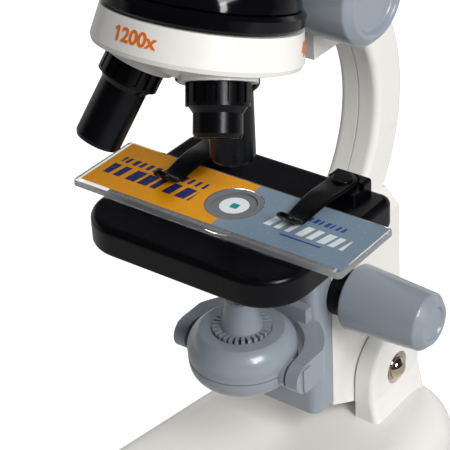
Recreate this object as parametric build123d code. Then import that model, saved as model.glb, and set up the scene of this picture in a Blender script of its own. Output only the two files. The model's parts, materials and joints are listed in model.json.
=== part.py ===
from build123d import *
import os
from math import acos, asin, cos, pi, radians, sin, sqrt, tan

# Toy microscope with a tilting arm, rack focusing, a three lens turret and a flip-over lamp.
# Millimetres.  The origin is the middle of the base on the table, +Z is up, +Y is the arm side,
# and the optical axis is vertical at x = 0, y = optical_y.

# Layout
optical_y = -7.0
table_gap = 0.4          # running gap between faces that slide or turn past each other
seat_gap = 0.05          # radial gap of pieces that are pushed or screwed together
shaft_gap = 0.05         # radial gap of a turning shaft

# Base
base_len = 115.0
base_front_w = 96.0
base_rear_w = 60.0
base_h = 25.0
base_front_corner_r = 26.0
base_rear_corner_r = 20.0
base_top_r = 11.0
base_taper = 7.0
base_wall = 2.4
foot_r = 6.0
foot_h = 1.2
plate_t = 2.0
weight_len = 44.0
weight_w = 42.0
weight_t = 6.0
base_screw_r = 1.5
base_screw_head_r = 2.8
base_screw_len = 12.0
boss_r = 3.6

# Tilt hinge
hinge_y = 38.8
hinge_z = 36.2
ear_r = 11.9
ear_t = 5.5
ear_flare = 4.0
ear_round = 1.6
lug_r = 11.4
bolt_r = 2.5
bolt_head_r = 3.4
bolt_head_h = 2.2
bolt_recess_r = 4.6
bolt_recess = 3.0
nut_r = 4.2
nut_t = 2.6
tilt_side_gap = 0.5

# Arm
grip_y = 11.4
grip_z = 110.0
grip_r = 34.3
arm_depth = 11.7
arm_half = 5.75
arm_top_half = 8.7
arm_low_half = 10.0
arm_round = 1.8
arm_seam_w = 0.4          # groove along the parting line of the two halves
arm_seam_d = 0.4
arm_top_z = 168.0
arm_chin_z = 136.0
arm_chin_len = 19.0
arm_shoulder_len = 13.0
arm_shoulder_deg = 42.0
arm_heel_deg = 35.0
arm_low_top_z = 84.0
arm_toe_z = 35.0
arm_screw_r = 1.5
arm_screw_head_r = 2.7
arm_screw_head_h = 1.8
arm_screw_len = 8.0
arm_screw_up_deg = 24.0
arm_screw_down_deg = 22.0

# Rack and pinion drives
pinion_teeth = 12
tooth_angle = 25.0
tooth_backlash = 0.16
pinion_half = 2.2
shaft_r = 1.2
coarse_y = 18.0
coarse_z = 153.5
coarse_pitch_r = 4.0
fine_y = 21.1
fine_z = 68.8
fine_pitch_r = 3.5

# Slide guide shared by the head and the stage carriage
guide_leg_in = 3.0
guide_leg_out = 4.6
guide_lip = 1.0
guide_gap = 0.3
rack_half = 2.5
rack_back = 2.0
head_down = 7.0
head_up = 8.0
stage_down = 5.0
stage_up = 3.0

# Knobs
coarse_knob_len = 14.3
coarse_knob_r_in = 11.8
coarse_knob_r_out = 11.4
coarse_dish_r = 9.0
fine_knob_len = 23.0
fine_knob_r_in = 8.4
fine_knob_r_out = 7.4
fine_dish_r = 4.6
knob_dish = 0.9
knob_bevel = 1.1
bush_flange_r = 6.2
bush_flange_t = 4.0
bush_r = 2.9

# Head and eyepiece
dome_rim_r = 22.1
dome_rim_h = 4.0
dome_r = 21.0
dome_h = 20.8
dome_mid_r = 17.6
dome_mid_h = 13.5
dome_top_r = 11.0
rim_bevel = 0.6
rim_step = 0.9
light_bore_r = 5.0
neck_r = 12.5
neck_bottom_z = 165.0
neck_top_z = 186.0
neck_round = 1.2
tube_r = 11.0
tube_wall = 1.8
tube_seat_z = 172.0
tube_top_z = 206.0
eyepiece_r = 12.5
eyepiece_top_r = 10.5
eyepiece_h = 22.0
eyepiece_grip_h = 9.0
eyepiece_bevel = 1.5
eyepiece_spigot = 11.0
eyepiece_ribs = 24
rib_w = 1.3
rib_d = 0.5
eyecup_bore_r = 6.0
eyecup_step = 1.2
eyecup_depth = 2.4
eye_lens_t = 3.0
field_lens_t = 2.6
slider_front_y = 7.4
slider_top_z = 170.0
slider_screw_r = 1.2
slider_screw_head_r = 2.1
slider_screw_len = 9.0
slider_screw_step = 6.5
slider_round = 0.8

# Turret and objectives
turret_tilt = 18.24
lens_offset = 8.64
lens_plane_z = 154.55
band_top_r = 22.1
band_low_r = 23.3
band_h = 8.0
band_round = 0.9
turret_foot_r = 5.0
pad_r = 8.5
pad_h = 0.9
pad_sink = 3.0
pin_r = 2.2
pin_head_r = 4.0
pin_head_h = 1.4
pin_grip = 9.0
ball_r = 1.5
ball_circle_r = 15.0
ball_track = 0.5
collar_s = 12.6
collar_r = 6.9
collar_h = 5.0
collar_ring_h = 0.7
collar_grooves = 18
groove_w = 0.8
groove_d = 0.6
cone_h = 1.4
barrel_r = 5.3
barrel_bevel = 0.9
spigot_r = 4.2
spigot_h = 4.6
objective_bore_r = 2.6
front_lens_r = 2.2
front_lens_t = 1.2
lens_rim = 1.0
lens_sink = 0.6
lens_inset = 0.8
long_objective_s = 36.5
mid_objective_s = 33.3
short_objective_s = 24.2

# Stage
stage_half_w = 29.4
stage_front_y = -31.9
stage_rear_y = 15.7
stage_top_z = 105.5
stage_t = 7.5
stage_front_corner_r = 11.5
stage_rear_corner_r = 3.2
stage_top_round = 1.7
stage_low_round = 1.0
stage_wall = 2.6
stage_skin = 3.0
light_hole_r = 5.0
block_in_x = 13.5
block_out_x = 23.4
block_rear_inset = 0.3
block_len = 8.0
block_h = 3.2
block_round = 0.9

# Clips
clip_pivot_x = 18.0
clip_pivot_y = 10.9
clip_turn = 1.0
clip_floor = 2.0
clip_disc_r = 3.5
clip_room = 0.4
clip_lift = 0.3
clip_t = 1.0
clip_reach = 20.0
clip_bow = 0.5
clip_tip_w = 5.2
clip_curl_r = 1.4
clip_curl_deg = 72.0
clip_tip_len = 2.1
clip_tip_round = 1.9
clip_pin_r = 1.3
clip_button_r = 2.5
clip_button_h = 0.6

# Slide
slide_len = 76.0
slide_w = 22.0
slide_t = 1.5
slide_centre_y = -9.9
slide_lift = 0.15
slide_corner_r = 1.2
slide_bevel = 0.25
well_x = 1.4
well_y = 0.6
well_r = 6.85
well_depth = 0.9
ring_in_r = 3.6
ring_step = 1.4
ring_sink = 0.1
disc_t = 0.4

# Stage carriage
carriage_half = 10.0
carriage_front_y = 9.5
carriage_bottom_z = 36.5
carriage_seam_z = 64.0
carriage_round = 2.6
flange_half = 15.0
flange_t = 2.6
flange_corner_r = 2.0
carriage_screw_r = 1.4
carriage_screw_head_r = 2.5
carriage_screw_head_h = 2.0
carriage_screw_len = 38.0
carriage_screw_edge = 3.4
stage_screw_head_r = 2.2
stage_screw_head_h = 1.6
stage_screw_len = 4.6
stage_screw_edge = 2.6
tongue_drop = 2.0

# Lamp
trunnion_z = 62.5
drum_r = 13.4
drum_top_z = 70.6
drum_flat_r = 10.5
drum_side_h = 1.5
drum_seam_z = 62.8
drum_bottom_z = 56.8
drum_foot_r = 9.5
drum_wall = 1.8
lamp_cone_low_r = 5.4
lamp_cone_top_r = 3.6
lamp_cone_h = 8.2
lamp_teeth = 28
lamp_tooth_r = 7.25
lamp_tooth_h = 1.5
lamp_tooth_sink = 0.7
lamp_bore_r = 2.7
led_r = 2.5
led_foot_h = 1.0
led_foot_lip = 0.15
board_t = 1.2
cell_r = 10.0
cell_t = 3.2
cell_bevel = 0.5
mirror_r = 8.0
mirror_t = 1.6
mirror_sink = 0.3
trunnion_r = 2.2
trunnion_boss_r = 3.6
yoke_gap = 1.8
yoke_t = 4.8
yoke_drop = 4.5
yoke_h = 8.5
yoke_bar_half = 9.2
yoke_bar_t = 2.6
yoke_bar_h = 5.6
yoke_bar_lift = 7.0
yoke_end_r = 3.9
yoke_end_x = 18.6
yoke_end_skin = 0.8
yoke_rib = 0.5
yoke_rib_half = 1.4
tenon_half = 4.0
tenon_len = 3.0
tenon_h = 6.0


# Simple solids given by their limits
def box(x0, x1, y0, y1, z0, z1):
    return Pos((x0 + x1) / 2, (y0 + y1) / 2, (z0 + z1) / 2) * Box(x1 - x0, y1 - y0, z1 - z0)


def rod_x(r, x0, x1, y, z):
    return Pos((x0 + x1) / 2, y, z) * Rot(0, 90, 0) * Cylinder(r, x1 - x0)


def rod_y(r, y0, y1, x, z):
    return Pos(x, (y0 + y1) / 2, z) * Rot(90, 0, 0) * Cylinder(r, y1 - y0)


def rod_z(r, z0, z1, x, y):
    return Pos(x, y, (z0 + z1) / 2) * Cylinder(r, z1 - z0)


# A side view outline, drawn in y and z, carried along x
def slab_x(face, x0, x1):
    return extrude(Plane.YZ.offset(x0) * face, amount=x1 - x0)


# A turned piece from a radius and height outline
def turned(outline):
    return revolve(Plane.XZ * make_face(outline), Axis.Z)


# Round cap in radius and height, from its rim up to its top on the axis
def cap_arc(r, z, rise):
    ball_r_cap = (r ** 2 + rise ** 2) / (2 * rise)
    half = asin(r / ball_r_cap) / 2
    middle = (ball_r_cap * sin(half), z + rise - ball_r_cap * (1 - cos(half)))
    return ThreePointArc((r, z), middle, (0, z + rise))


def mirrored(solid):
    return mirror(solid, about=Plane.YZ)


def group(solids):
    return Compound(children=list(solids))


# Screw along -Z with its head's top at z = 0
def screw(r, head_r, head_h, length):
    head = rod_z(head_r, -head_h, 0, 0, 0)
    return fillet(head.edges().group_by(Axis.Z)[-1], head_h * 0.45) + rod_z(r, -length, -head_h, 0, 0)


def screw_hole(r, head_r, head_h, length):
    return rod_z(head_r + seat_gap, -head_h, head_h, 0, 0) + rod_z(r + seat_gap, -length, 0, 0, 0)


# Rack and pinion teeth
def module_of(pitch_r):
    return 2 * pitch_r / pinion_teeth


def addendum_of(pitch_r):
    return 0.85 * module_of(pitch_r)


def dedendum_of(pitch_r):
    return 1.1 * module_of(pitch_r)


# Involute pinion outline in y and z with one tooth pointing at -y
def pinion_outline(pitch_r):
    alpha = radians(tooth_angle)
    base_r = pitch_r * cos(alpha)
    tip_r = pitch_r + addendum_of(pitch_r)
    root_r = pitch_r - dedendum_of(pitch_r)
    half_pitch_angle = (pi * module_of(pitch_r) / 2 - tooth_backlash) / (2 * pitch_r)
    half_angles = []
    for r in (root_r, base_r, pitch_r, tip_r):
        pressure = acos(min(1, base_r / r))
        half = half_pitch_angle + tan(alpha) - alpha - tan(pressure) + pressure
        half_angles.append((r, half))
    points = []
    for k in range(pinion_teeth):
        middle = pi + 2 * pi * k / pinion_teeth
        for r, half in half_angles:
            points.append((r * cos(middle - half), r * sin(middle - half)))
        for r, half in reversed(half_angles):
            points.append((r * cos(middle + half), r * sin(middle + half)))
    return make_face(Polyline(*points, close=True))


# Rack outline in y and z: teeth point at +y, a gap faces the pinion at rest
def rack_outline(pitch_r, axis_y, axis_z, z0, z1):
    slope = tan(radians(tooth_angle))
    pitch = pi * module_of(pitch_r)
    half = (pitch / 2 - tooth_backlash) / 2
    up = addendum_of(pitch_r)
    down = dedendum_of(pitch_r)
    line_y = axis_y - pitch_r
    root_y = line_y - down
    points = [(root_y - rack_back, z0), (root_y, z0)]
    first = int((z0 - axis_z) / pitch) - 1
    last = int((z1 - axis_z) / pitch) + 1
    for k in range(first, last + 1):
        middle = axis_z + (k + 0.5) * pitch
        if middle - pitch / 2 < z0 or middle + pitch / 2 > z1:
            continue
        points.append((root_y, middle - half - down * slope))
        points.append((line_y + up, middle - half + up * slope))
        points.append((line_y + up, middle + half - up * slope))
        points.append((root_y, middle + half + down * slope))
    points.append((root_y, z1))
    points.append((root_y - rack_back, z1))
    return make_face(Polyline(*points, close=True))


# Sliding guide: the rear face of the sliding piece lies a running gap in front of the arm's face
def arm_face_y(pitch_r, axis_y):
    return axis_y - pitch_r - dedendum_of(pitch_r) + table_gap


def slider_face_y(pitch_r, axis_y):
    return axis_y - pitch_r - dedendum_of(pitch_r)


# Two legs with outward lips on the back of a sliding piece
def guide_tongue(pitch_r, axis_y, z0, z1):
    y0 = slider_face_y(pitch_r, axis_y)
    y1 = axis_y - shaft_r - guide_gap
    leg = box(guide_leg_in, guide_leg_out, y0, y1, z0, z1)
    lip = box(guide_leg_in, guide_leg_out + guide_lip, y1 - guide_lip, y1, z0, z1)
    side = leg + lip
    return side + mirrored(side)


guide_room_half = guide_leg_out + guide_lip + guide_gap


# The channel for those legs in the arm
def guide_channel(pitch_r, axis_y, z0, z1):
    y0 = slider_face_y(pitch_r, axis_y)
    y1 = axis_y - shaft_r - guide_gap
    mouth_half = guide_leg_out + guide_gap
    mouth = box(-mouth_half, mouth_half, y0 - base_wall, y1, z0, z1)
    inner = box(-guide_room_half, guide_room_half, y1 - guide_lip - guide_gap, y1 + guide_gap, z0, z1)
    return mouth + inner


# Pocket for a pinion in the arm, open to the channel in front of it
def pinion_pocket(pitch_r, axis_y, axis_z):
    r = pitch_r + addendum_of(pitch_r) + table_gap
    half = pinion_half + table_gap
    return rod_x(r, -half, half, axis_y, axis_z)


# Base
base_bottom_z = foot_h
base_top_z = base_h
ear_in_x = arm_low_half + tilt_side_gap
ear_out_x = ear_in_x + ear_t


def base_outline(inset):
    front = base_front_w / 2 - inset
    rear = base_rear_w / 2 - inset
    half = base_len / 2 - inset
    corners = [(-front, -half), (front, -half), (rear, half), (-rear, half)]
    face = make_face(Polyline(*corners, close=True))
    face = fillet(face.vertices().group_by(Axis.Y)[-1], base_rear_corner_r - inset)
    return fillet(face.vertices().group_by(Axis.Y)[0], base_front_corner_r - inset)


def base_dome(inset):
    height = base_top_z - base_bottom_z - inset
    dome = extrude(Pos(0, 0, base_bottom_z) * base_outline(inset), amount=height, taper=base_taper)
    return fillet(dome.edges().group_by(Axis.Z)[-1], base_top_r - inset)


# One ear: an upright tab with a round top and rounded outer edges that flares out into the base
def hinge_ear():
    foot_z = base_top_z - base_top_r
    tab = Pos(hinge_y, hinge_z) * Circle(ear_r)
    tab += Pos(hinge_y, (hinge_z + foot_z) / 2) * Rectangle(2 * ear_r, hinge_z - foot_z)
    side = slab_x(tab, ear_in_x, ear_out_x)
    outer = side.faces().filter_by(Axis.X).sort_by(Axis.X)[-1]
    side = fillet(outer.edges().sort_by(Axis.Z)[1:], ear_round)
    flare_z = hinge_z - ear_r * 0.4
    flare_in_x = ear_out_x - ear_round
    lean = [(flare_in_x, foot_z), (ear_out_x + ear_flare, foot_z), (ear_out_x, flare_z), (flare_in_x, flare_z)]
    flare = extrude(Plane.XZ.offset(-hinge_y - ear_r) * make_face(Polyline(*lean, close=True)), amount=2 * ear_r)
    lean_face = flare.faces().sort_by(Axis.X)[-1]
    lean_edges = lean_face.edges().filter_by(Axis.Y, reverse=True)
    return side + fillet(lean_edges, ear_round)


base_screw_spots = []
for x, y in ((-0.31, -0.36), (0.31, -0.36), (-0.27, 0.06), (0.27, 0.06)):
    base_screw_spots.append((x * base_front_w, y * base_len))
plate_top_z = base_bottom_z + plate_t
base_screw_head_h = plate_t * 0.7


def base_shell():
    shell = base_dome(0) - base_dome(base_wall)
    ears = hinge_ear()
    shell += ears + mirrored(ears)
    for x, y in base_screw_spots:
        boss = rod_z(boss_r, plate_top_z, base_top_z - base_wall / 2, x, y)
        shell += boss
        shell -= rod_z(base_screw_r + seat_gap, 0, base_bottom_z + base_screw_len + seat_gap, x, y)
    lug_room_r = lug_r + tilt_side_gap
    shell -= rod_x(lug_room_r, -ear_in_x, ear_in_x, hinge_y, hinge_z)
    shell -= rod_x(bolt_r + seat_gap, -ear_out_x - ear_flare, ear_out_x + ear_flare, hinge_y, hinge_z)
    shell -= rod_x(bolt_recess_r, ear_out_x - bolt_recess, ear_out_x + ear_flare, hinge_y, hinge_z)
    nut_room = extrude(Plane.YZ.offset(-ear_out_x - ear_flare) * Pos(hinge_y, hinge_z)
                       * RegularPolygon(nut_r + seat_gap, 6), amount=ear_flare + bolt_recess)
    return shell - nut_room


def base_plate():
    inset = base_wall + seat_gap * 4
    plate = extrude(Pos(0, 0, base_bottom_z) * base_outline(inset), amount=plate_t, taper=base_taper)
    for x, y in base_screw_spots:
        hole = screw_hole(base_screw_r, base_screw_head_r, base_screw_head_h, base_screw_len)
        plate -= Pos(x, y, base_bottom_z) * Rot(180, 0, 0) * hole
    return plate


def base_screws():
    one = screw(base_screw_r, base_screw_head_r, base_screw_head_h, base_screw_len)
    return group(Pos(x, y, base_bottom_z) * Rot(180, 0, 0) * one for x, y in base_screw_spots)


def base_feet():
    feet = []
    for x, y in ((-0.3, -0.24), (0.3, -0.24), (-0.21, 0.36), (0.21, 0.36)):
        pad = rod_z(foot_r, 0, foot_h, x * base_front_w, y * base_len)
        feet.append(chamfer(pad.edges().group_by(Axis.Z)[0], foot_h / 3))
    return group(feet)


def base_weight():
    y0 = optical_y - weight_len / 2
    slab = box(-weight_w / 2, weight_w / 2, y0, y0 + weight_len, plate_top_z, plate_top_z + weight_t)
    return chamfer(slab.edges().filter_by(Axis.Z), weight_t / 2)


# Domed bolt head in its recess, shank through both ears and the arm
def hinge_bolt():
    head_x = ear_out_x - bolt_recess
    edge_h = bolt_head_h * 0.3
    outline = Polyline((0, bolt_head_h), (0, 0), (bolt_head_r, 0), (bolt_head_r, edge_h))
    outline += cap_arc(bolt_head_r, edge_h, bolt_head_h - edge_h)
    head = Pos(head_x, hinge_y, hinge_z) * Rot(0, 90, 0) * turned(outline)
    return head + rod_x(bolt_r, -ear_out_x + bolt_recess - nut_t, head_x, hinge_y, hinge_z)


def hinge_nut():
    x0 = -ear_out_x + bolt_recess - nut_t
    hexagon = Pos(hinge_y, hinge_z) * (RegularPolygon(nut_r, 6) - Circle(bolt_r + seat_gap))
    return slab_x(hexagon, x0, x0 + nut_t)


# Arm: a C grip between a top block for the head and a low block for the stage
coarse_face_y = arm_face_y(coarse_pitch_r, coarse_y)
fine_face_y = arm_face_y(fine_pitch_r, fine_y)
arm_r = grip_r + arm_depth


def on_circle(r, degrees_up):
    return (grip_y + r * cos(radians(degrees_up)), grip_z + r * sin(radians(degrees_up)))


def arm_outline():
    shoulder = (coarse_face_y + arm_shoulder_len, arm_top_z)
    upper = on_circle(arm_r, arm_shoulder_deg)
    heel = on_circle(arm_r, -arm_heel_deg)
    bulge = ((shoulder[0] + upper[0]) / 2 + arm_depth * 0.3, (shoulder[1] + upper[1]) / 2 + arm_depth * 0.3)
    back = (hinge_y + lug_r, hinge_z)
    under = (hinge_y, hinge_z - lug_r)
    sole = (hinge_y - lug_r * sin(pi / 4), hinge_z - lug_r * sin(pi / 4))
    toe = (fine_face_y, arm_toe_z)
    low_front = (fine_face_y, grip_z - sqrt(grip_r ** 2 - (fine_face_y - grip_y) ** 2))
    chin_back = (grip_y + sqrt(grip_r ** 2 - (arm_chin_z - grip_z) ** 2), arm_chin_z)
    chin = (coarse_face_y, arm_chin_z)
    edge = Polyline(chin, (coarse_face_y, arm_top_z), shoulder)
    edge += ThreePointArc(shoulder, bulge, upper)
    edge += ThreePointArc(upper, (grip_y + arm_r, grip_z), heel)
    edge += Line(heel, back)
    edge += ThreePointArc(back, under, sole)
    edge += Polyline(sole, toe, low_front)
    edge += ThreePointArc(low_front, (grip_y + grip_r, grip_z), chin_back)
    edge += Line(chin_back, chin)
    return make_face(edge)


# The edges of a slab at its two side faces, rounded
def round_sides(slab, half, r):
    edges = slab.edges().filter_by_position(Axis.X, half - 0.01, half + 0.01)
    edges += slab.edges().filter_by_position(Axis.X, -half - 0.01, -half + 0.01)
    return fillet(edges, r)


arm_screw_r_at = grip_r + arm_depth / 2
arm_screw_spots = [on_circle(arm_screw_r_at, arm_screw_up_deg), on_circle(arm_screw_r_at, -arm_screw_down_deg)]


def arm_body():
    face = arm_outline()
    rear_y = grip_y + arm_r
    grip = round_sides(slab_x(face, -arm_half, arm_half), arm_half, arm_round)
    top_room = Pos(coarse_face_y + arm_chin_len / 2, (arm_chin_z + arm_top_z) / 2)
    top_room *= Rectangle(arm_chin_len, arm_top_z - arm_chin_z)
    top = slab_x(face & top_room, -arm_top_half, arm_top_half)
    top_rear = top.edges().filter_by(Axis.Z).group_by(Axis.Y)[-1]
    top = chamfer(top_rear, arm_top_half - arm_half - seat_gap)
    low_room = Pos((fine_face_y + rear_y) / 2, arm_low_top_z / 2) * Rectangle(rear_y - fine_face_y, arm_low_top_z)
    low = slab_x(face & low_room, -arm_low_half, arm_low_half)
    low_top = low.edges().filter_by(Axis.Y).group_by(Axis.Z)[-1]
    low = chamfer(low_top, arm_low_half - arm_half - seat_gap)
    arm = grip + top + low
    seam = slab_x(face, -arm_seam_w / 2, arm_seam_w / 2)
    arm -= seam - slab_x(offset(face, amount=-arm_seam_d), -arm_seam_w / 2, arm_seam_w / 2)
    arm -= guide_channel(coarse_pitch_r, coarse_y, arm_chin_z - 1, arm_top_z + 1)
    arm -= guide_channel(fine_pitch_r, fine_y, arm_toe_z - lug_r, arm_low_top_z)
    arm -= pinion_pocket(coarse_pitch_r, coarse_y, coarse_z)
    arm -= pinion_pocket(fine_pitch_r, fine_y, fine_z)
    arm -= rod_x(shaft_r + shaft_gap, -arm_top_half, arm_top_half, coarse_y, coarse_z)
    arm -= rod_x(shaft_r + shaft_gap, -arm_low_half, arm_low_half, fine_y, fine_z)
    bush_room = rod_x(bush_r + seat_gap, guide_room_half, arm_low_half, fine_y, fine_z)
    arm -= bush_room + mirrored(bush_room)
    arm -= rod_x(bolt_r + shaft_gap, -arm_low_half, arm_low_half, hinge_y, hinge_z)
    for y, z in arm_screw_spots:
        hole = screw_hole(arm_screw_r, arm_screw_head_r, arm_screw_head_h, arm_screw_len + seat_gap)
        arm -= Pos(-arm_half, y, z) * Rot(0, -90, 0) * hole
    return arm


def arm_screws():
    one = screw(arm_screw_r, arm_screw_head_r, arm_screw_head_h, arm_screw_len)
    return group(Pos(-arm_half, y, z) * Rot(0, -90, 0) * one for y, z in arm_screw_spots)


whole_arm = arm_body()
arm_reach = 2 * arm_top_z
arm_left_half = whole_arm & box(-arm_reach, 0, -arm_reach, arm_reach, 0, arm_reach)
arm_right_half = whole_arm & box(0, arm_reach, -arm_reach, arm_reach, 0, arm_reach)


# Focus drives
def drive_pinion(pitch_r, y, z):
    face = pinion_outline(pitch_r) - Circle(shaft_r + seat_gap)
    return slab_x(Pos(y, z) * face, -pinion_half, pinion_half)


coarse_knob_in_x = arm_top_half + tilt_side_gap
fine_knob_in_x = arm_low_half + bush_flange_t + tilt_side_gap


# Tapered knob with a bevelled end and a shallow round dish, on a blind bore
def focus_knob(r_in, r_out, length, dish_r, grip):
    outline = Polyline((0, 0), (r_in - knob_bevel / 2, 0), (r_in, knob_bevel / 2), (r_out, length - knob_bevel),
                       (r_out - knob_bevel, length), (dish_r, length), (dish_r - knob_dish / 2, length - knob_dish),
                       (0, length - knob_dish), close=True)
    return turned(outline) - rod_z(shaft_r + seat_gap, -1, grip, 0, 0)


coarse_grip = coarse_knob_len * 0.7
fine_grip = fine_knob_len * 0.5


def coarse_knob():
    knob = focus_knob(coarse_knob_r_in, coarse_knob_r_out, coarse_knob_len, coarse_dish_r, coarse_grip)
    return Pos(coarse_knob_in_x, coarse_y, coarse_z) * Rot(0, 90, 0) * knob


def fine_knob():
    knob = focus_knob(fine_knob_r_in, fine_knob_r_out, fine_knob_len, fine_dish_r, fine_grip)
    return Pos(fine_knob_in_x, fine_y, fine_z) * Rot(0, 90, 0) * knob


# Black flanged bushes that carry the fine shaft at both sides of the arm
def fine_bush():
    bush = rod_x(bush_r, guide_room_half, arm_low_half, fine_y, fine_z)
    bush += rod_x(bush_flange_r, arm_low_half, arm_low_half + bush_flange_t, fine_y, fine_z)
    return bush - rod_x(shaft_r + shaft_gap, 0, arm_low_half + bush_flange_t, fine_y, fine_z)


# Turret frame: origin on the black and white parting circle, local +Z up the turret's pivot
pivot_y = optical_y - lens_offset * cos(radians(turret_tilt))
pivot_z = lens_plane_z + lens_offset * sin(radians(turret_tilt))
turret_frame = Pos(0, pivot_y, pivot_z) * Rot(-turret_tilt, 0, 0)


def objective_frame(k):
    return turret_frame * Rot(0, 0, 120 * k) * Pos(0, lens_offset, 0) * Rot(turret_tilt, 0, 0)


coarse_slider_y = slider_face_y(coarse_pitch_r, coarse_y)
coarse_pitch = pi * module_of(coarse_pitch_r)
slider_low_z = coarse_z - head_up - 2 * coarse_pitch
coarse_rack_top_z = coarse_z + head_down + 2 * coarse_pitch
slider_screw_spots = [slider_top_z - slider_screw_step, slider_top_z - 2 * slider_screw_step]


def head_shell():
    rim_low = table_gap / 2
    shoulder = dome_rim_h + (dome_rim_r - dome_r) * 0.4
    outline = Polyline((0, rim_low), (dome_rim_r - rim_bevel, rim_low), (dome_rim_r, rim_low + rim_bevel),
                       (dome_rim_r, dome_rim_h - rim_step), (dome_rim_r - rim_step, dome_rim_h),
                       (dome_r - rim_bevel, dome_rim_h), (dome_r, shoulder))
    outline += ThreePointArc((dome_r, shoulder), (dome_mid_r, dome_mid_h), (dome_top_r, dome_h))
    outline += Polyline((dome_top_r, dome_h), (0, dome_h), (0, rim_low))
    head = turret_frame * turned(outline)
    neck = rod_z(neck_r, neck_bottom_z, neck_top_z, 0, optical_y)
    head += fillet(neck.edges().group_by(Axis.Z)[-1], neck_round)
    boss_y = optical_y + light_bore_r
    boss_low_z = pivot_z - (boss_y - pivot_y) * tan(radians(turret_tilt)) + 2 * table_gap
    head += box(-guide_leg_out, guide_leg_out, boss_y, slider_front_y, boss_low_z, slider_top_z)
    head -= rod_z(tube_r + seat_gap, tube_seat_z, neck_top_z + 1, 0, optical_y)
    head -= rod_z(light_bore_r, lens_plane_z - neck_r, tube_seat_z + 1, 0, optical_y)
    head -= turret_frame * rod_z(pin_r + seat_gap, 0, pin_grip + seat_gap, 0, 0)
    head -= turret_frame * rod_z(ball_r + seat_gap, 0, 4 * ball_r, 0, -ball_circle_r)
    for z in slider_screw_spots:
        head -= rod_y(slider_screw_r + seat_gap, slider_front_y - slider_screw_len, slider_front_y + 1, 0, z)
    return head


def head_slider():
    y0 = slider_front_y
    y1 = coarse_slider_y
    slider = box(-guide_leg_out, guide_leg_out, y0, y1, slider_low_z, slider_top_z)
    slider = fillet(slider.edges().filter_by(Axis.Z).group_by(Axis.Y)[0], slider_round)
    slider += guide_tongue(coarse_pitch_r, coarse_y, slider_low_z, slider_top_z)
    rack_room = box(-rack_half - seat_gap, rack_half + seat_gap, y1 - rack_back - seat_gap, y1 + 1,
                    slider_low_z - 1, slider_top_z + 1)
    slider -= rack_room
    for z in slider_screw_spots:
        slider -= rod_y(slider_screw_r + seat_gap, y0 - 1, y1, 0, z)
        head_y = y1 - rack_back - seat_gap - slider_screw_head_r * 0.6
        slider -= rod_y(slider_screw_head_r + seat_gap, head_y, y1, 0, z)
    return slider


def slider_screws():
    head_h = slider_screw_head_r * 0.6
    seat_y = coarse_slider_y - rack_back - seat_gap
    length = seat_y - slider_front_y + slider_screw_len - seat_gap
    one = screw(slider_screw_r, slider_screw_head_r, head_h, length)
    return group(Pos(0, seat_y, z) * Rot(-90, 0, 0) * one for z in slider_screw_spots)


def head_rack():
    face = rack_outline(coarse_pitch_r, coarse_y, coarse_z, slider_low_z, slider_top_z)
    return slab_x(face, -rack_half, rack_half)


def eyepiece_tube():
    outer = rod_z(tube_r, tube_seat_z, tube_top_z, 0, optical_y)
    return outer - rod_z(tube_r - tube_wall, tube_seat_z - 1, tube_top_z + 1, 0, optical_y)


spigot_r_eye = tube_r - tube_wall - seat_gap
eyepiece_top_z = tube_top_z + eyepiece_h


# Eyepiece: ribbed grip above the tube, a cup that narrows towards the eye, a spigot in the tube
def eyepiece_body():
    low = tube_top_z
    shoulder = low + eyepiece_grip_h
    outline = Polyline((0, low - eyepiece_spigot), (spigot_r_eye, low - eyepiece_spigot), (spigot_r_eye, low),
                       (eyepiece_r - rim_bevel, low), (eyepiece_r, low + rim_bevel), (eyepiece_r, shoulder),
                       (eyepiece_top_r, shoulder + eyepiece_r - eyepiece_top_r),
                       (eyepiece_top_r, eyepiece_top_z - eyepiece_bevel),
                       (eyepiece_top_r - eyepiece_bevel, eyepiece_top_z), (0, eyepiece_top_z), close=True)
    body = Pos(0, optical_y, 0) * turned(outline)
    ribs = Pos(0, optical_y, low + eyepiece_grip_h * 0.5)
    rib = Box(2 * rib_d, rib_w, eyepiece_grip_h * 0.7)
    body -= [ribs * spot * rib for spot in PolarLocations(eyepiece_r, eyepiece_ribs)]
    body -= rod_z(eyecup_bore_r, low - eyepiece_spigot, eyepiece_top_z, 0, optical_y)
    return body - rod_z(eyecup_bore_r + eyecup_step, eyepiece_top_z - eyecup_depth, eyepiece_top_z + 1, 0, optical_y)


# Lens with a bulging upper face inside a straight bore
def lens(r, t, bulge):
    outline = Polyline((0, t / 2 + bulge), (0, -t / 2), (r, -t / 2), (r, t / 2))
    outline += cap_arc(r, t / 2, bulge)
    return turned(outline)


def eye_lens():
    z = eyepiece_top_z - eyecup_depth - eye_lens_t
    return Pos(0, optical_y, z) * lens(eyecup_bore_r - seat_gap, eye_lens_t * 0.5, eye_lens_t * 0.25)


def field_lens():
    z = tube_top_z - eyepiece_spigot + field_lens_t
    return Pos(0, optical_y, z) * lens(eyecup_bore_r - seat_gap, field_lens_t * 0.5, field_lens_t * 0.25)


# Shouldered screw on which the turret turns
turret_low = -band_h - (band_low_r - turret_foot_r) * tan(radians(turret_tilt))


def turret_pin():
    shank = rod_z(pin_r, turret_low - seat_gap, pin_grip, 0, 0)
    head = rod_z(pin_head_r, turret_low - pin_head_h - seat_gap, turret_low - seat_gap, 0, 0)
    return turret_frame * (shank + fillet(head.edges().group_by(Axis.Z)[0], pin_head_h * 0.5))


def detent_ball():
    return turret_frame * Pos(0, -ball_circle_r, ball_r - ball_track + seat_gap) * Sphere(ball_r)


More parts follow.
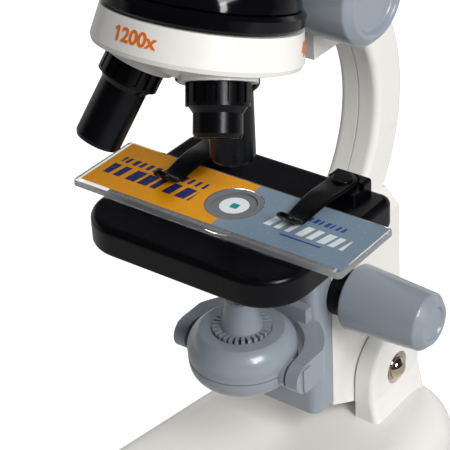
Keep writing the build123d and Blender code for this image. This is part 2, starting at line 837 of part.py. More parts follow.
# Wire spring that presses the ball into the turret's track
def detent_spring():
    z0 = 2 * ball_r - ball_track + 2 * seat_gap
    z1 = 4 * ball_r
    wire_r = ball_r * 0.14
    rise = z1 - z0 - 2 * wire_r
    path = Helix(rise / 4, rise, ball_r - 2 * wire_r)
    coil = sweep(Plane(origin=path @ 0, z_dir=path % 0) * Circle(wire_r), path, is_frenet=True)
    return turret_frame * Pos(0, -ball_circle_r, z0 + wire_r) * coil


def turret_body():
    top = -table_gap / 2
    foot_z = turret_low
    outline = Polyline((0, top), (band_top_r, top), (band_low_r, -band_h + band_round),
                       (band_low_r - band_round * 0.5, -band_h - band_round * 0.2), (turret_foot_r, foot_z),
                       (0, foot_z), close=True)
    body = turned(outline)
    for k in range(3):
        seat = Rot(0, 0, 120 * k) * Pos(0, lens_offset, 0) * Rot(turret_tilt, 0, 0)
        body += seat * rod_z(pad_r, -collar_s, -collar_s + pad_h + pad_sink, 0, 0)
    for k in range(3):
        seat = Rot(0, 0, 120 * k) * Pos(0, lens_offset, 0) * Rot(turret_tilt, 0, 0)
        body -= seat * rod_z(spigot_r + seat_gap, -collar_s - 1, -collar_s + spigot_h + seat_gap, 0, 0)
        body -= seat * rod_z(objective_bore_r, -collar_s, lens_offset, 0, 0)
        body -= Rot(0, 0, 120 * k) * Pos(0, -ball_circle_r, top) * Sphere(ball_r * 0.9)
    track = rod_z(ball_circle_r + ball_r, -ball_track - table_gap, 0, 0, 0)
    track -= rod_z(ball_circle_r - ball_r, -ball_track - table_gap, 0, 0, 0)
    body -= track
    body -= rod_z(pin_r + shaft_gap, foot_z - 1, 1, 0, 0)
    return turret_frame * body


# Objective barrel along -Z: spigot in the turret, grooved collar, cone and barrel
def objective(end_s):
    collar_end = -collar_s - collar_h
    cone_end = collar_end - cone_h
    collar_face = Circle(collar_r)
    collar_face -= PolarLocations(collar_r, collar_grooves) * Rectangle(2 * groove_d, groove_w)
    collar = extrude(Pos(0, 0, collar_end + collar_ring_h) * collar_face, amount=collar_h - collar_ring_h)
    outline = Polyline((0, -collar_s + spigot_h), (spigot_r, -collar_s + spigot_h), (spigot_r, -collar_s),
                       (collar_r - groove_d, -collar_s), (collar_r - groove_d, collar_end), (barrel_r, cone_end),
                       (barrel_r, -end_s + barrel_bevel), (barrel_r - barrel_bevel / 2, -end_s), (0, -end_s), close=True)
    ring = rod_z(collar_r, collar_end, collar_end + collar_ring_h, 0, 0)
    body = turned(outline) + collar + ring
    body -= rod_z(objective_bore_r, -end_s - 1, 0, 0, 0)
    return body - rod_z(front_lens_r + lens_rim, -end_s - 1, -end_s + lens_sink, 0, 0)


def front_lens(end_s):
    glass = lens(objective_bore_r - seat_gap, front_lens_t * 0.7, front_lens_t * 0.2)
    return Pos(0, 0, -end_s + lens_inset + front_lens_t) * glass


objective_lengths = {"objective_long": long_objective_s, "objective_mid": mid_objective_s,
                     "objective_short": short_objective_s}


# Stage
stage_low_z = stage_top_z - stage_t


def stage_face(inset):
    width = 2 * (stage_half_w - inset)
    depth = stage_rear_y - stage_front_y - 2 * inset
    face = Pos(0, (stage_rear_y + stage_front_y) / 2) * Rectangle(width, depth)
    face = fillet(face.vertices().group_by(Axis.Y)[-1], stage_rear_corner_r - inset)
    return fillet(face.vertices().group_by(Axis.Y)[0], stage_front_corner_r - inset)


flange_front_y = optical_y + light_hole_r + stage_wall + table_gap
flange_top_z = stage_low_z + flange_t
stage_screw_spots = []
for x in (-flange_half + stage_screw_edge, flange_half - stage_screw_edge):
    for y in (flange_front_y + stage_screw_edge, stage_rear_y - stage_wall - stage_screw_edge):
        stage_screw_spots.append((x, y))


def stage_plate():
    slab = extrude(Pos(0, 0, stage_low_z) * stage_face(0), amount=stage_t)
    slab = fillet(slab.edges().group_by(Axis.Z)[-1], stage_top_round)
    slab = fillet(slab.edges().group_by(Axis.Z)[0], stage_low_round)
    hollow = extrude(Pos(0, 0, stage_low_z) * stage_face(stage_wall), amount=stage_t - stage_skin)
    hollow -= rod_z(light_hole_r + stage_wall, stage_low_z, stage_top_z, 0, optical_y)
    bed = box(-flange_half - stage_wall, flange_half + stage_wall, flange_front_y - stage_wall, stage_rear_y,
              flange_top_z, stage_top_z)
    slab -= hollow - bed
    notch_half = carriage_half + seat_gap
    notch = box(-notch_half, notch_half, carriage_front_y - seat_gap, stage_rear_y + 1, stage_low_z - 1, flange_top_z)
    slab -= notch
    slab -= rod_z(light_hole_r, stage_low_z - 1, stage_top_z + 1, 0, optical_y)
    for x, y in stage_screw_spots:
        hole_top_z = flange_top_z + stage_screw_len - flange_t + 2 * seat_gap
        slab -= rod_z(carriage_screw_r + seat_gap, flange_top_z, hole_top_z, x, y)
    side = clip_block()
    slab += side + mirrored(side)
    pin_room = rod_z(clip_pin_r + shaft_gap, clip_pin_end_z - table_gap, clip_seat_z + 1, clip_pivot_x, clip_pivot_y)
    return slab - pin_room - mirrored(pin_room)


clip_seat_z = stage_top_z + clip_floor
clip_pin_end_z = stage_top_z - stage_skin / 2


# Block at the stage's back: a low floor under the clip's round end and a wall behind it
def clip_block():
    y1 = stage_rear_y - block_rear_inset
    y0 = y1 - block_len
    block = box(block_in_x, block_out_x, y0, y1, stage_top_z - stage_top_round, stage_top_z + block_h)
    upright = block.edges().filter_by(Axis.Z)
    block = fillet(upright, block_round)
    block = fillet(block.edges().group_by(Axis.Z)[-1], block_round)
    block -= rod_z(clip_disc_r + clip_room, clip_seat_z, stage_top_z + block_h + 1, clip_pivot_x, clip_pivot_y)
    front_y = clip_pivot_y + 2 * clip_room
    return block - box(block_in_x - 1, block_out_x + 1, y0 - 1, front_y, clip_seat_z, stage_top_z + block_h + 1)


slide_bottom_z = stage_top_z + slide_lift
slide_top_z = slide_bottom_z + slide_t
clip_low_z = clip_seat_z + clip_lift
clip_touch_z = slide_top_z + clip_lift


# Spring clip along -Y from its pivot: a bowed strip that comes down to the slide and curls up at a round tip
def clip_leaf():
    half_t = clip_t / 2
    z_high = clip_low_z + half_t
    z_low = clip_touch_z + half_t
    bend_y = -clip_disc_r
    touch_y = -clip_reach
    bow = ((bend_y + touch_y) / 2, (z_high + z_low) / 2 + clip_bow)
    turn = radians(clip_curl_deg)
    curl_mid = (touch_y - clip_curl_r * sin(turn / 2), z_low + clip_curl_r * (1 - cos(turn / 2)))
    curl_end = (touch_y - clip_curl_r * sin(turn), z_low + clip_curl_r * (1 - cos(turn)))
    path = Line((clip_disc_r, z_high), (bend_y, z_high))
    path += ThreePointArc((bend_y, z_high), bow, (touch_y, z_low))
    path += ThreePointArc((touch_y, z_low), curl_mid, curl_end)
    path += Line(curl_end, (curl_end[0] - clip_tip_len * cos(turn), curl_end[1] + clip_tip_len * sin(turn)))
    strip = extrude(Plane.YZ.offset(-clip_disc_r) * trace(path, clip_t), amount=2 * clip_disc_r)
    tip_half = clip_tip_w / 2
    tip_y = touch_y - 2 * clip_curl_r - clip_tip_len
    taper = Polyline((-clip_disc_r, 0), (clip_disc_r, 0), (tip_half, touch_y), (tip_half, tip_y), (-tip_half, tip_y),
                     (-tip_half, touch_y), close=True)
    plan = Circle(clip_disc_r) + make_face(taper)
    leaf = strip & extrude(Pos(0, 0, stage_top_z) * plan, amount=4 * block_h)
    end_edges = leaf.edges().filter_by(lambda e: abs(e.length - clip_t) < clip_t / 10)
    leaf = fillet(end_edges.group_by(Axis.Y)[0], clip_tip_round)
    return leaf - rod_z(clip_pin_r + seat_gap, stage_top_z, stage_top_z + 4 * block_h, 0, 0)


# Rivet that pins a clip to its block, with a flat round button on top
def clip_rivet():
    top = clip_low_z + clip_t
    button = rod_z(clip_button_r, top, top + clip_button_h, 0, 0)
    button = fillet(button.edges().group_by(Axis.Z)[-1], clip_button_h * 0.5)
    return button + rod_z(clip_pin_r, clip_pin_end_z, top, 0, 0)


clip_right_frame = Pos(clip_pivot_x, clip_pivot_y, 0) * Rot(0, 0, -clip_turn)


# Specimen slide with a stepped well
def slide_frame():
    return Pos(well_x, slide_centre_y + well_y, 0)


def specimen_slide():
    face = Pos(0, slide_centre_y) * RectangleRounded(slide_len, slide_w, slide_corner_r)
    body = extrude(Pos(0, 0, slide_bottom_z) * face, amount=slide_t)
    body = chamfer(body.edges().group_by(Axis.Z)[-1], slide_bevel)
    return body - slide_frame() * rod_z(well_r, slide_top_z - well_depth, slide_top_z + 1, 0, 0)


def specimen_ring():
    z0 = slide_top_z - well_depth
    z1 = slide_top_z - ring_sink
    ring = rod_z(well_r - seat_gap, z0, z1, 0, 0) - rod_z(ring_in_r, z0 - 1, z1 + 1, 0, 0)
    step = rod_z(well_r - ring_step, z0 + well_depth * 0.5, z1 + 1, 0, 0)
    return slide_frame() * (ring - step)


def specimen_disc():
    z0 = slide_top_z - well_depth
    return slide_frame() * rod_z(ring_in_r - seat_gap, z0, z0 + disc_t, 0, 0)


# Stage carriage
fine_slider_y = slider_face_y(fine_pitch_r, fine_y)
fine_pitch = pi * module_of(fine_pitch_r)
guide_top_z = arm_low_top_z


def carriage_block(z0, z1):
    block = box(-carriage_half, carriage_half, carriage_front_y, fine_slider_y, z0, z1)
    return fillet(block.edges().filter_by(Axis.Z).group_by(Axis.Y)[0], carriage_round)


def rack_room(z0, z1):
    half = rack_half + seat_gap
    return box(-half, half, fine_slider_y - rack_back - seat_gap, fine_slider_y + 1, z0, z1)


carriage_screw_x = carriage_half - carriage_screw_edge
carriage_screw_y = (carriage_front_y + fine_slider_y) / 2


def carriage_screw_room():
    hole = screw_hole(carriage_screw_r, carriage_screw_head_r, carriage_screw_head_h, carriage_screw_len + seat_gap)
    one = Pos(carriage_screw_x, carriage_screw_y, carriage_bottom_z) * Rot(180, 0, 0) * hole
    return one + mirrored(one)


def carriage_upper():
    body = carriage_block(carriage_seam_z, flange_top_z - seat_gap)
    flange = box(-flange_half, flange_half, flange_front_y, stage_rear_y - stage_wall - seat_gap,
                 flange_top_z - flange_t + seat_gap, flange_top_z - seat_gap)
    body += fillet(flange.edges().filter_by(Axis.Z), flange_corner_r)
    body += guide_tongue(fine_pitch_r, fine_y, carriage_seam_z, carriage_tongue_top_z)
    body -= rack_room(carriage_seam_z - 1, rack_top_z)
    for x, y in stage_screw_spots:
        body -= rod_z(carriage_screw_r + seat_gap, stage_low_z - 1, flange_top_z + 1, x, y)
    return body - carriage_screw_room() - yoke_tenon(seat_gap)


def carriage_lower():
    body = carriage_block(carriage_bottom_z, carriage_seam_z)
    body += guide_tongue(fine_pitch_r, fine_y, carriage_bottom_z, carriage_seam_z)
    body -= rack_room(carriage_bottom_z + base_wall, carriage_seam_z + 1)
    return body - carriage_screw_room() - yoke_tenon(seat_gap)


carriage_tongue_top_z = stage_low_z - tongue_drop
rack_top_z = fine_z + stage_down + 3 * fine_pitch


def stage_rack():
    face = rack_outline(fine_pitch_r, fine_y, fine_z, carriage_bottom_z + base_wall, rack_top_z)
    return slab_x(face, -rack_half, rack_half)


def carriage_screws():
    one = screw(carriage_screw_r, carriage_screw_head_r, carriage_screw_head_h, carriage_screw_len)
    right = Pos(carriage_screw_x, carriage_screw_y, carriage_bottom_z) * Rot(180, 0, 0) * one
    return group([right, mirrored(right)])


def stage_screws():
    head_h = stage_screw_head_h
    one = screw(carriage_screw_r, stage_screw_head_r, head_h, stage_screw_len + head_h)
    return group(Pos(x, y, stage_low_z + seat_gap - head_h) * Rot(180, 0, 0) * one for x, y in stage_screw_spots)


# Yoke: a C round the drum with a straight back bar on the carriage
yoke_in_r = drum_r + yoke_gap
yoke_out_r = yoke_in_r + yoke_t
yoke_low_z = trunnion_z - yoke_drop
yoke_bar_low_z = yoke_low_z + yoke_bar_lift


# Tongue on the yoke that the two carriage pieces clamp between them
def yoke_tenon(gap):
    half = tenon_half + gap
    y0 = carriage_front_y - gap
    y1 = carriage_front_y + tenon_len + gap
    return box(-half, half, y0, y1, carriage_seam_z - tenon_h / 2 - gap, carriage_seam_z + tenon_h / 2 + gap)


def lamp_yoke():
    ring = Pos(0, optical_y) * (Circle(yoke_out_r) - Circle(yoke_in_r))
    ring &= Pos(0, (optical_y + carriage_front_y) / 2) * Rectangle(4 * yoke_out_r, carriage_front_y - optical_y)
    yoke = extrude(Pos(0, 0, yoke_low_z) * ring, amount=yoke_h)
    bar_y = carriage_front_y - yoke_bar_t
    yoke += box(-yoke_bar_half, yoke_bar_half, bar_y, carriage_front_y, yoke_bar_low_z, yoke_bar_low_z + yoke_bar_h)
    yoke &= box(-yoke_end_x, yoke_end_x, optical_y, carriage_front_y, yoke_low_z, trunnion_z + 2 * yoke_h)
    yoke += yoke_tenon(0)
    end = rod_x(yoke_end_r, yoke_in_r, yoke_end_x, optical_y, trunnion_z)
    end += box(yoke_end_x, yoke_end_x + yoke_rib, optical_y - yoke_rib_half, optical_y + yoke_rib_half,
               trunnion_z - yoke_end_r * 0.8, trunnion_z + yoke_end_r * 0.8)
    yoke += end + mirrored(end)
    hole_x = yoke_end_x - yoke_end_skin
    return yoke - rod_x(trunnion_r + shaft_gap, -hole_x, hole_x, optical_y, trunnion_z)


# Lamp drum
def drum_profile():
    side_z = trunnion_z + drum_side_h
    edge = Polyline((0, drum_seam_z), (drum_r, drum_seam_z), (drum_r, side_z))
    corner = (drum_flat_r + (drum_r - drum_flat_r) * 0.72, drum_top_z - (drum_top_z - side_z) * 0.28)
    edge += ThreePointArc((drum_r, side_z), corner, (drum_flat_r, drum_top_z))
    edge += Polyline((drum_flat_r, drum_top_z), (0, drum_top_z), (0, drum_seam_z))
    return edge


lamp_cell_z = drum_bottom_z + mirror_t + drum_wall
lamp_board_z = lamp_cell_z + cell_t + table_gap
drum_room_r = drum_r - drum_wall
drum_room_top_z = drum_top_z - drum_wall


trunnion_boss_x = yoke_in_r - 2 * table_gap


# Round pad on the side of the drum that carries a trunnion, sunk into both drum halves
def trunnion_boss(gap):
    return rod_x(trunnion_boss_r + gap, drum_room_r - gap, trunnion_boss_x + gap, optical_y, trunnion_z)


def lamp_housing_upper():
    shell = Pos(0, optical_y, 0) * turned(drum_profile())
    shell -= rod_z(drum_room_r, drum_seam_z - 1, drum_room_top_z, 0, optical_y)
    boss = trunnion_boss(0)
    boss += rod_x(trunnion_r, trunnion_boss_x, yoke_end_x - yoke_end_skin - table_gap, optical_y, trunnion_z)
    shell += boss + mirrored(boss)
    shell -= rod_z(lamp_cone_low_r + seat_gap, drum_room_top_z - 1, drum_top_z + 1, 0, optical_y)
    return shell - rod_z(lamp_tooth_r + seat_gap * 4, drum_top_z - lamp_tooth_sink, drum_top_z + 1, 0, optical_y)


def lamp_housing_lower():
    edge = Polyline((0, drum_bottom_z), (drum_foot_r, drum_bottom_z))
    corner = (drum_foot_r + (drum_r - drum_foot_r) * 0.72, drum_bottom_z + (drum_seam_z - drum_bottom_z) * 0.34)
    edge += ThreePointArc((drum_foot_r, drum_bottom_z), corner, (drum_r, drum_seam_z))
    edge += Polyline((drum_r, drum_seam_z), (0, drum_seam_z), (0, drum_bottom_z))
    shell = Pos(0, optical_y, 0) * turned(edge)
    shell -= rod_z(cell_r + seat_gap, lamp_cell_z, drum_seam_z + 1, 0, optical_y)
    boss = trunnion_boss(seat_gap)
    shell -= boss + mirrored(boss)
    return shell - rod_z(mirror_r + seat_gap, drum_bottom_z - 1, drum_bottom_z + mirror_t, 0, optical_y)


# Light cone with a ring of grip teeth at its foot
def lamp_cone():
    low = drum_top_z - lamp_tooth_sink
    top = drum_top_z + lamp_cone_h
    outline = Polyline((0, drum_room_top_z), (lamp_cone_low_r, drum_room_top_z), (lamp_cone_low_r, drum_top_z),
                       (lamp_cone_top_r, top), (0, top), close=True)
    cone = turned(outline)
    tooth_l = lamp_tooth_r - lamp_cone_low_r + 0.6
    tooth_w = pi * lamp_tooth_r / lamp_teeth
    tooth = Box(tooth_l, tooth_w, lamp_tooth_h)
    middle_r = lamp_tooth_r - tooth_l / 2
    cone += [Pos(0, 0, low + lamp_tooth_h / 2) * spot * tooth for spot in PolarLocations(middle_r, lamp_teeth)]
    cone -= rod_z(lamp_bore_r, drum_room_top_z - 1, top + 1, 0, 0)
    return Pos(0, optical_y, 0) * cone


def lamp_led():
    low = lamp_board_z + board_t
    top = drum_top_z + lamp_cone_h * 0.35
    foot_r = led_r + led_foot_lip
    foot_z = low + led_foot_h
    dome_z = top - led_r
    outline = Polyline((0, low), (foot_r, low), (foot_r, foot_z), (led_r, foot_z), (led_r, dome_z))
    outline += cap_arc(led_r, dome_z, led_r)
    outline += Line((0, top), (0, low))
    return Pos(0, optical_y, 0) * turned(outline)


def lamp_board():
    return rod_z(drum_room_r - seat_gap, lamp_board_z, lamp_board_z + board_t, 0, optical_y)


def lamp_cell():
    cell = rod_z(cell_r, lamp_cell_z, lamp_cell_z + cell_t, 0, optical_y)
    return chamfer(cell.edges().group_by(Axis.Z)[-1], cell_bevel)


def lamp_mirror():
    return rod_z(mirror_r, drum_bottom_z + mirror_sink, drum_bottom_z + mirror_t, 0, optical_y)


parts = {
    "base_shell": base_shell(),
    "base_plate": base_plate(),
    "base_weight": base_weight(),
    "base_feet": base_feet(),
    "base_screws": base_screws(),
    "hinge_bolt": hinge_bolt(),
    "hinge_nut": hinge_nut(),
    "arm_left_half": arm_left_half,
    "arm_right_half": arm_right_half,
    "arm_screws": arm_screws(),
    "fine_bushes": group([fine_bush(), mirrored(fine_bush())]),
    "coarse_shaft": rod_x(shaft_r, -coarse_knob_in_x - coarse_grip, coarse_knob_in_x + coarse_grip, coarse_y, coarse_z),
    "coarse_pinion": drive_pinion(coarse_pitch_r, coarse_y, coarse_z),
    "coarse_knob_right": coarse_knob(),
    "coarse_knob_left": mirrored(coarse_knob()),
    "fine_shaft": rod_x(shaft_r, -fine_knob_in_x - fine_grip, fine_knob_in_x + fine_grip, fine_y, fine_z),
    "fine_pinion": drive_pinion(fine_pitch_r, fine_y, fine_z),
    "fine_knob_right": fine_knob(),
    "fine_knob_left": mirrored(fine_knob()),
    "head_shell": head_shell(),
    "head_slider": head_slider(),
    "head_rack": head_rack(),
    "slider_screws": slider_screws(),
    "eyepiece_tube": eyepiece_tube(),
    "eyepiece_body": eyepiece_body(),
    "eye_lens": eye_lens(),
    "field_lens": field_lens(),
    "turret_pin": turret_pin(),
    "detent_ball": detent_ball(),
    "detent_spring": detent_spring(),
    "turret_body": turret_body(),
    "stage_plate": stage_plate(),
    "carriage_upper": carriage_upper(),
    "carriage_lower": carriage_lower(),
    "stage_rack": stage_rack(),
    "carriage_screws": carriage_screws(),
    "stage_screws": stage_screws(),
    "lamp_yoke": lamp_yoke(),
    "clip_right": clip_right_frame * clip_leaf(),
    "clip_left": mirrored(clip_right_frame * clip_leaf()),
    "clip_rivet_right": clip_right_frame * clip_rivet(),
    "clip_rivet_left": mirrored(clip_right_frame * clip_rivet()),
    "specimen_slide": specimen_slide(),
    "specimen_ring": specimen_ring(),
    "specimen_disc": specimen_disc(),
    "lamp_housing_upper": lamp_housing_upper(),
    "lamp_housing_lower": lamp_housing_lower(),
    "lamp_cone": lamp_cone(),
    "lamp_led": lamp_led(),
    "lamp_board": lamp_board(),
    "lamp_cell": lamp_cell(),
    "lamp_mirror": lamp_mirror(),
}
for k, (name, end_s) in enumerate(objective_lengths.items()):
    parts[name] = objective_frame(k) * objective(end_s)
parts["objective_lenses"] = group(objective_frame(k) * front_lens(s) for k, s in enumerate(objective_lengths.values()))

os.makedirs("parts", exist_ok=True)
for name, solid in parts.items():
    export_step(solid, f"parts/{name}.step")
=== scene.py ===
import bpy
import json
import math
import numpy as np
from mathutils import Matrix, Vector


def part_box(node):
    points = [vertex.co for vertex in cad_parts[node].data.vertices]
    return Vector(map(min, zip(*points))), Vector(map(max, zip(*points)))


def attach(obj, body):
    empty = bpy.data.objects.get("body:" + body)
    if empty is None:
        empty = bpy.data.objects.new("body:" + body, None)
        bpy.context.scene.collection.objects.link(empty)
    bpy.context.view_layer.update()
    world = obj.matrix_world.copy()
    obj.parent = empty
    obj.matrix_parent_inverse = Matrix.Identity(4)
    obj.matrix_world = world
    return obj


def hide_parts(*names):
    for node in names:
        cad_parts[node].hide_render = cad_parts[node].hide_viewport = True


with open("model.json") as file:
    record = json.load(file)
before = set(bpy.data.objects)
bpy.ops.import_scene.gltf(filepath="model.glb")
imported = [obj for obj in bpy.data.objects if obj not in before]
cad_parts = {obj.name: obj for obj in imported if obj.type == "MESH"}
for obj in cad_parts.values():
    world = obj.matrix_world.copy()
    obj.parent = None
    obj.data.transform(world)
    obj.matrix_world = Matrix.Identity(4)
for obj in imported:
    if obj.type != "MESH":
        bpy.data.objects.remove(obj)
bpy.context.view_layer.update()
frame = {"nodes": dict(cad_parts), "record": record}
nodes = frame["nodes"]
mm = 0.001
print("frame loaded:", len(nodes), "nodes")

# camera: the photo's view, fitted to the slide and the optical axis
cameraView = {"azimuth": 38.18, "elevation": 31.88, "roll": -3.14, "eyeMm": (210.29, -278.82, 313.60),
              "focalPixels": 1731, "imagePixels": 450, "sensorMm": 36.0, "clip": (0.01, 20)}


def makeCamera(c):
    a, e, r = (math.radians(c[k]) for k in ("azimuth", "elevation", "roll"))
    back = Vector((math.sin(a) * math.cos(e), -math.cos(a) * math.cos(e), math.sin(e)))
    flat = Vector((math.cos(a), math.sin(a), 0))
    rise = back.cross(flat)
    right = flat * math.cos(r) + rise * math.sin(r)
    up = rise * math.cos(r) - flat * math.sin(r)
    data = bpy.data.cameras.new("photoCamera")
    data.sensor_width = c["sensorMm"]
    data.lens = c["focalPixels"] / c["imagePixels"] * c["sensorMm"]
    data.clip_start, data.clip_end = c["clip"]
    cam = bpy.data.objects.new("photoCamera", data)
    bpy.context.scene.collection.objects.link(cam)
    cam.matrix_world = Matrix((right, up, back)).transposed().to_4x4()
    cam.location = Vector(c["eyeMm"]) * mm
    bpy.context.scene.camera = cam


makeCamera(cameraView)


# one shader value: arithmetic on it adds Math nodes
class Value:
    def __init__(self, shader, socket):
        self.shader, self.socket = shader, socket

    def math(self, operation, other=None, flip=False):
        pair = [self] if other is None else ([other, self] if flip else [self, other])
        return self.shader.add("Math", {"operation": operation}, dict(enumerate(pair)))

    def __add__(self, other):
        return self.math("ADD", other)

    def __radd__(self, other):
        return self.math("ADD", other, True)

    def __sub__(self, other):
        return self.math("SUBTRACT", other)

    def __rsub__(self, other):
        return self.math("SUBTRACT", other, True)

    def __mul__(self, other):
        return self.math("MULTIPLY", other)

    def __rmul__(self, other):
        return self.math("MULTIPLY", other, True)

    def __truediv__(self, other):
        return self.math("DIVIDE", other)

    def __rtruediv__(self, other):
        return self.math("DIVIDE", other, True)

    def __gt__(self, other):
        return self.math("GREATER_THAN", other)

    def __lt__(self, other):
        return self.math("LESS_THAN", other)

    def __abs__(self):
        return self.math("ABSOLUTE")


# one node tree: add() makes any node, its settings first, then its sockets
class NodeTree:
    def __init__(self, tree):
        self.tree = tree

    def add(self, kind, settings=None, sockets=None, out=0):
        node = self.tree.nodes.new("ShaderNode" + kind)
        for key, value in (settings or {}).items():
            setattr(node, key, value)
        for key, value in (sockets or {}).items():
            self.feed(node.inputs[key], value)
        return node if out is None else Value(self, node.outputs[out])

    def feed(self, socket, value):
        if isinstance(value, Value):
            self.tree.links.new(value.socket, socket)
        else:
            socket.default_value = (*value, 1.0) if socket.type == "RGBA" and len(value) == 3 else value

    def mix(self, factor, low, high):
        return self.add("Mix", {"data_type": "RGBA"}, {0: factor, 6: low, 7: high}, out=2)

    def xyz(self, where):
        split = self.add("SeparateXYZ", {}, {0: where})
        return [Value(self, output) for output in split.socket.node.outputs]

    # two masks: rays that see the surround straight or through clear pieces, and rays that see it mirrored
    def seenRays(self):
        path = self.add("LightPath", out="Is Camera Ray")
        outputs = path.socket.node.outputs
        mirrored, through = (Value(self, outputs[k]) for k in ("Is Glossy Ray", "Is Transmission Ray"))
        return path.math("MAXIMUM", through), mirrored


# one material on Object coordinates
class Shader(NodeTree):
    def __init__(self, name):
        self.material = bpy.data.materials.new(name)
        self.material.use_nodes = True
        super().__init__(self.material.node_tree)
        self.surface = next(n for n in self.tree.nodes if n.type == "BSDF_PRINCIPLED")
        self.place = self.add("TexCoord", out="Object")

    def put(self, **sockets):
        for key, value in sockets.items():
            self.feed(self.surface.inputs[key.replace("_", " ")], value)

    def noise(self, scale, detail=2.0, roughness=0.5):
        values = {"Vector": self.place, "Scale": scale, "Detail": detail, "Roughness": roughness}
        return self.add("TexNoise", {}, values)

    # the place pulled out along one axis, for marks that run in lines
    def stretched(self, scale):
        return self.add("Mapping", {}, {"Vector": self.place, "Scale": scale})

    def bump(self, height, distance, strength=0.5):
        self.put(Normal=self.add("Bump", {}, {"Height": height, "Distance": distance, "Strength": strength}))


# moulded plastics: mottled resin, rubbed patches, a very fine grain and a few hairline scuffs
plastics = {
    "white_shell": {"colour": (0.80, 0.782, 0.738), "rough": 0.33, "spread": 0.10, "tint": 0.03, "ior": 1.46,
                    "grain": 2600, "depth": 0.000008, "coat": 0.15},
    "white_gear": {"colour": (0.78, 0.77, 0.74), "rough": 0.46, "spread": 0.08, "tint": 0.03, "ior": 1.46,
                   "grain": 3200, "depth": 0.00001, "coat": 0.0},
    "black_gloss": {"colour": (0.0022, 0.0022, 0.0036), "rough": 0.09, "spread": 0.05, "tint": 0.3, "ior": 1.3,
                    "grain": 2400, "depth": 0.000003, "coat": 0.0},
    "black_satin": {"colour": (0.0024, 0.0024, 0.0036), "rough": 0.24, "spread": 0.08, "tint": 0.3, "ior": 1.27,
                    "grain": 2800, "depth": 0.000009, "coat": 0.0},
    "grey_plastic": {"colour": (0.265, 0.298, 0.342), "rough": 0.30, "spread": 0.10, "tint": 0.05, "ior": 1.46,
                     "grain": 2600, "depth": 0.000006, "coat": 0.35},
    "ringGrey": {"colour": (0.165, 0.17, 0.185), "rough": 0.42, "spread": 0.10, "tint": 0.06, "ior": 1.36,
                 "grain": 2600, "depth": 0.00001, "coat": 0.0},
}
resin = {"cloudScale": 38, "cloudRough": 0.5, "cloudBump": 0.6, "rubbedScale": 130, "bump": 0.6, "coatRough": 0.08,
         "scuffScale": 900.0, "scuffStretch": (1.0, 0.05, 1.0), "scuffAbove": 0.74, "scuffRough": 0.05}


def mouldedPlastic(name, p):
    s = Shader(name)
    cloud = s.noise(resin["cloudScale"], 3.0)
    rubbed = s.noise(resin["rubbedScale"], 4.0, 0.6)
    lines = s.stretched(resin["scuffStretch"])
    streaks = s.add("TexNoise", {}, {"Vector": lines, "Scale": resin["scuffScale"], "Detail": 1.0})
    scuff = streaks > resin["scuffAbove"]
    dark, light = (tuple(v * (1 + sign * p["tint"]) for v in p["colour"]) for sign in (-1, 1))
    s.put(Base_Color=s.mix(cloud, dark, light))
    worn = (rubbed - 0.5) * p["spread"] + (cloud - 0.5) * (p["spread"] * resin["cloudRough"])
    s.put(Roughness=p["rough"] + worn + scuff * resin["scuffRough"])
    s.bump(s.noise(p["grain"], 2.0) + cloud * resin["cloudBump"], p["depth"], resin["bump"])
    s.put(Coat_Weight=p["coat"], Coat_Roughness=resin["coatRough"], IOR=p["ior"])
    return s.material


# plated metal: fine tool marks and small stains
metals = {
    "steel": {"colour": (0.52, 0.52, 0.51), "rough": 0.30, "lines": 5200},
    # the nickel's tan tint is a painted reflection: it stands in for the cream-white parts round the bolt mirrored in
    # its head
    "nickel": {"colour": (0.60, 0.51, 0.38), "rough": 0.07, "lines": 1500},
}
plating = {"stainScale": 240, "dull": 0.82, "stainRough": 0.12, "markDepth": 0.000006, "markBump": 0.4}


def platedMetal(name, p):
    s = Shader(name)
    stain = s.noise(plating["stainScale"], 4.0, 0.6)
    lines = s.noise(p["lines"], 1.0)
    dull = tuple(v * plating["dull"] for v in p["colour"])
    s.put(Base_Color=s.mix(stain, dull, p["colour"]), Metallic=1.0)
    s.put(Roughness=p["rough"] + (stain - 0.5) * plating["stainRough"])
    s.bump(lines, plating["markDepth"], plating["markBump"])
    return s.material


# rubber pads and the board: matt with visible speckle
matts = {
    "rubber_foot": {"colour": (0.024, 0.024, 0.025), "rough": 0.82, "speck": 900, "spread": 0.3},
    "board": {"colour": (0.02, 0.16, 0.07), "rough": 0.42, "speck": 700, "spread": 0.2},
}
speckle = {"rough": 0.15, "depth": 0.00003}


def mattSurface(name, p):
    s = Shader(name)
    speck = s.noise(p["speck"], 3.0)
    s.put(Base_Color=s.mix(speck, tuple(v * (1 - p["spread"]) for v in p["colour"]), p["colour"]))
    s.put(Roughness=p["rough"] + (speck - 0.5) * speckle["rough"])
    s.bump(speck, speckle["depth"])
    return s.material


# clear pieces: light goes through, faint smears in the gloss
clears = {
    "lens_glass": {"colour": (0.93, 0.97, 0.96), "rough": 0.01, "ior": 1.52, "through": 1.0},
    "clear_slide": {"colour": (0.86, 0.88, 0.89), "rough": 0.03, "ior": 1.4, "through": 0.85},
    "led_epoxy": {"colour": (0.96, 0.96, 0.88), "rough": 0.05, "ior": 1.5, "through": 0.9},
}
smears = {"scale": 70, "dull": 0.985, "rough": 0.02}


def clearSurface(name, p):
    s = Shader(name)
    smear = s.noise(smears["scale"], 4.0, 0.6)
    s.put(Base_Color=s.mix(smear, tuple(v * smears["dull"] for v in p["colour"]), p["colour"]))
    s.put(Roughness=p["rough"] + smear * smears["rough"])
    s.put(Transmission_Weight=p["through"], IOR=p["ior"])
    return s.material


# mirror under the drum: silvered, a little dusty
mirror = {"dustScale": 500, "dull": (0.82, 0.83, 0.83), "bright": (0.9, 0.91, 0.91), "rough": 0.02, "dustRough": 0.05}


def mirrorSurface(name, p):
    s = Shader(name)
    dust = s.noise(p["dustScale"], 3.0)
    s.put(Base_Color=s.mix(dust, p["dull"], p["bright"]), Metallic=1.0)
    s.put(Roughness=p["rough"] + dust * p["dustRough"])
    return s.material


